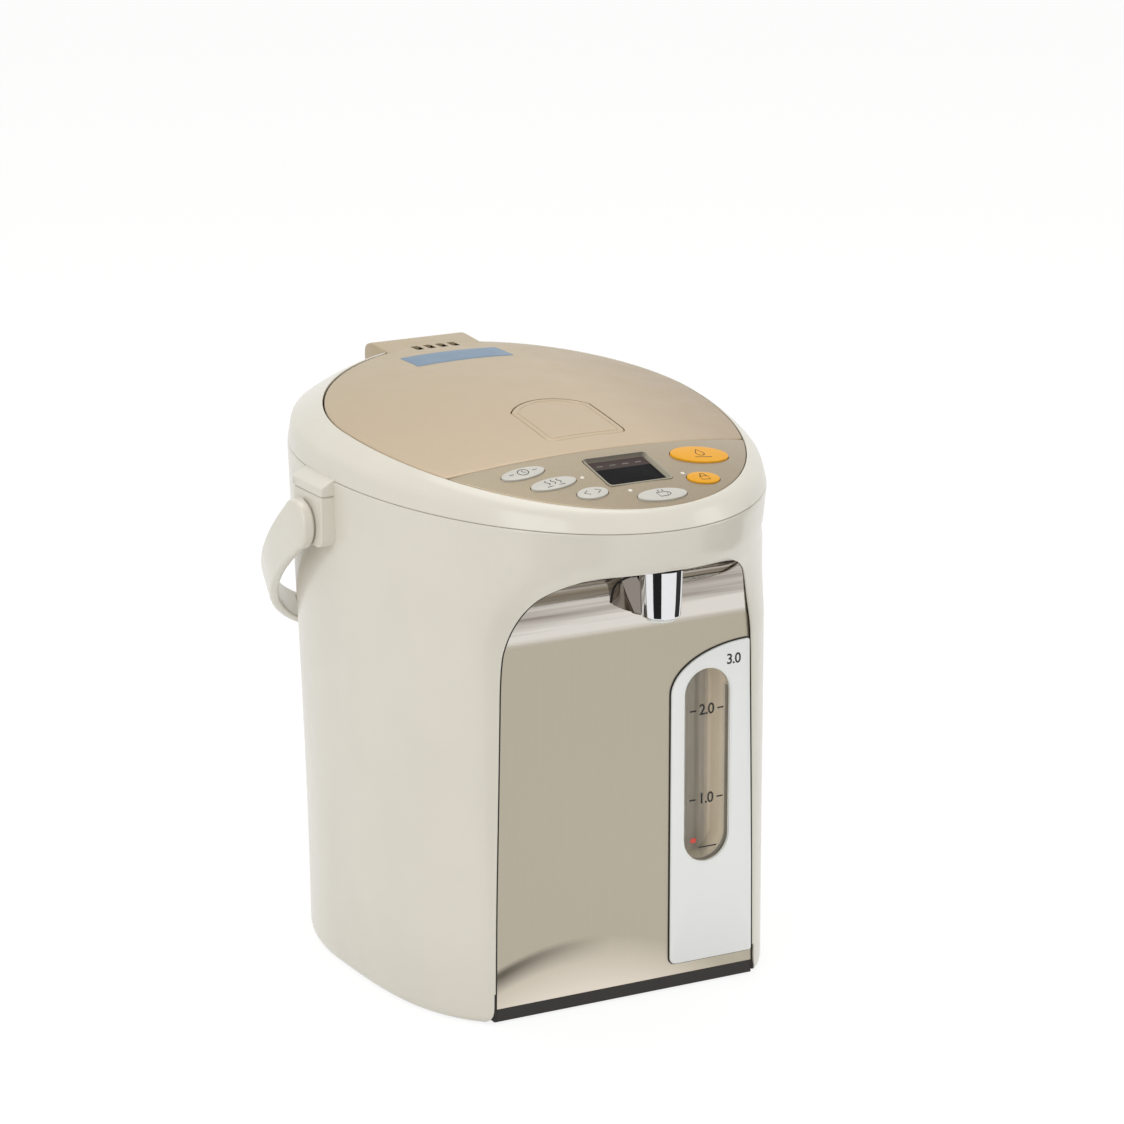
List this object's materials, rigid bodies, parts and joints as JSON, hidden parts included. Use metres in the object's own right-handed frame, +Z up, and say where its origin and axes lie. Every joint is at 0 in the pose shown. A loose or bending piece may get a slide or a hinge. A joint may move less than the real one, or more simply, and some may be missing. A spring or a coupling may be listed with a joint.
{
  "type": "electric thermo pot",
  "caption": "Oval electric thermo pot with a hinged lid and push lever, a sloping control panel, a motor pump with a spout over a cup bay, a water gauge and a carry handle.",
  "frame": {"origin": "middle of the whole footprint, on the table under the feet", "axes": "+Z up, the spout faces -Y, the lid hinge is at +Y, +X is to the right for someone who faces the spout side"},
  "size_m": [0.2416, 0.2982, 0.288],
  "materials": {
    "ivory_shell": "satin",
    "champagne_lid": "satin metallic",
    "taupe_panel": "satin metallic",
    "brushed_plate": "vertical brush with a polished cove",
    "chrome": "polished",
    "dark_base": "matte",
    "rubber_feet": "matte",
    "inner_plastic": "matte",
    "grey_plastic": "matte",
    "gauge_white": "gloss",
    "clear_plastic": "clear",
    "display_glass": "tinted",
    "display": "matte",
    "bezel": "satin metallic",
    "lens": "gloss",
    "silver_key": "gloss",
    "yellow_key": "gloss",
    "steel": "plain",
    "wire": "plain",
    "insulation": "foil",
    "heater_metal": "cast",
    "pump_plastic": "matte",
    "impeller_plastic": "matte",
    "magnet": "sintered",
    "silicone": "soft",
    "gasket": "soft",
    "board_green": "solder mask",
    "black_plastic": "matte",
    "contact": "plain",
    "nozzle": "milky"
  },
  "bodies": {
    "pot": {"body_shell": "ivory_shell", "bottom_cover": "dark_base", "feet": "rubber_feet", "base_screws": "steel", "shoulder_ring": "ivory_shell", "mouth_frame": "inner_plastic", "control_panel": "taupe_panel", "panel_tray": "grey_plastic", "control_board": "board_green", "tact_switches": "black_plastic", "lcd_bezel": "bezel", "lcd_window": "display_glass", "lcd_module": "display", "led_lenses": "lens", "front_frame": "grey_plastic", "front_plate": "brushed_plate", "gauge_plate": "gauge_white", "gauge_window": "clear_plastic", "gauge_tube": "clear_plastic", "spout_cover": "chrome", "spout_nozzle": "nozzle", "outlet_pipe": "inner_plastic", "valve_ball": "steel", "vessel": "steel", "vessel_neck": "steel", "vessel_insulation": "insulation", "vessel_support": "grey_plastic", "heater": "heater_metal", "temperature_sensor": "inner_plastic", "pump_housing": "pump_plastic", "pump_motor": "steel", "outlet_hose": "silicone", "power_board": "board_green", "inlet_socket": "black_plastic", "inlet_pins": "contact", "handle_bosses": "ivory_shell", "boss_caps": "ivory_shell", "handle_pins": "steel", "hinge_bracket": "inner_plastic", "hinge_pin": "steel"},
    "lid": {"lid_outer": "champagne_lid", "lid_inner": "inner_plastic", "lid_plate": "steel", "lid_gasket": "gasket", "steam_duct": "inner_plastic", "vent_grille": "grey_plastic", "lid_screws": "steel", "lever_pin": "steel", "latch_spring": "wire"},
    "lever": {"lid_lever": "champagne_lid"},
    "latch": {"lid_latch": "grey_plastic"},
    "handle": {"carry_handle": "ivory_shell"},
    "timer_key": {"key_timer": "silver_key"},
    "reboil_key": {"key_reboil": "silver_key"},
    "select_key": {"key_select": "silver_key"},
    "keep_warm_key": {"key_keep_warm": "silver_key"},
    "lock_key": {"key_lock": "yellow_key"},
    "dispense_key": {"key_dispense": "yellow_key"},
    "rotor": {"motor_rotor": "magnet"},
    "impeller": {"pump_impeller": "impeller_plastic"}
  },
  "joints": [
    {"name": "lid_hinge", "type": "hinge", "parent": "pot", "child": "lid", "pos_m": [0, 0.108, 0.272], "axis": [-1, 0, 0], "range_deg": [0, 78]},
    {"name": "lever_press", "type": "hinge", "parent": "lid", "child": "lever", "pos_m": [0, -0.022, 0.2691], "axis": [1, 0, 0], "range_deg": [0, 9], "stiffness_Nm_per_rad": 1.2, "springref_deg": -6.88},
    {"name": "latch_slide", "type": "slide", "parent": "lid", "child": "latch", "axis": [0, 1, 0], "range_m": [0, 0.004], "deforming": ["latch_spring"]},
    {"name": "handle_swing", "type": "hinge", "parent": "pot", "child": "handle", "pos_m": [0, 0.0114, 0.2287], "axis": [1, 0, 0], "range_deg": [0, 125]},
    {"name": "timer_press", "type": "slide", "parent": "pot", "child": "timer_key", "axis": [0.1092, 0.2186, -0.9697], "range_m": [0, 0.001], "stiffness_N_per_m": 700, "springref_m": -0.0006},
    {"name": "reboil_press", "type": "slide", "parent": "pot", "child": "reboil_key", "axis": [0.0907, 0.2371, -0.9672], "range_m": [0, 0.001], "stiffness_N_per_m": 700, "springref_m": -0.0006},
    {"name": "select_press", "type": "slide", "parent": "pot", "child": "select_key", "axis": [0.0625, 0.2553, -0.9648], "range_m": [0, 0.001], "stiffness_N_per_m": 700, "springref_m": -0.0006},
    {"name": "keep_warm_press", "type": "slide", "parent": "pot", "child": "keep_warm_key", "axis": [-0.0066, 0.2687, -0.9632], "range_m": [0, 0.001], "stiffness_N_per_m": 700, "springref_m": -0.0006},
    {"name": "lock_press", "type": "slide", "parent": "pot", "child": "lock_key", "axis": [-0.0714, 0.2546, -0.9644], "range_m": [0, 0.001], "stiffness_N_per_m": 700, "springref_m": -0.0006},
    {"name": "dispense_press", "type": "slide", "parent": "pot", "child": "dispense_key", "axis": [-0.098, 0.2254, -0.9693], "range_m": [0, 0.001], "stiffness_N_per_m": 700, "springref_m": -0.0006},
    {"name": "rotor_spin", "type": "hinge", "parent": "pot", "child": "rotor", "pos_m": [0.018, -0.048, 0.024], "axis": [0, 0, 1], "continuous": true},
    {"name": "impeller_spin", "type": "hinge", "parent": "pot", "child": "impeller", "pos_m": [0.018, -0.048, 0.033], "axis": [0, 0, 1], "continuous": true}
  ],
  "couplings": [
    {"joint": "latch_slide", "follows": "lever_press", "m_per_rad": 0.0254},
    {"joint": "impeller_spin", "follows": "rotor_spin", "ratio": 1}
  ]
}
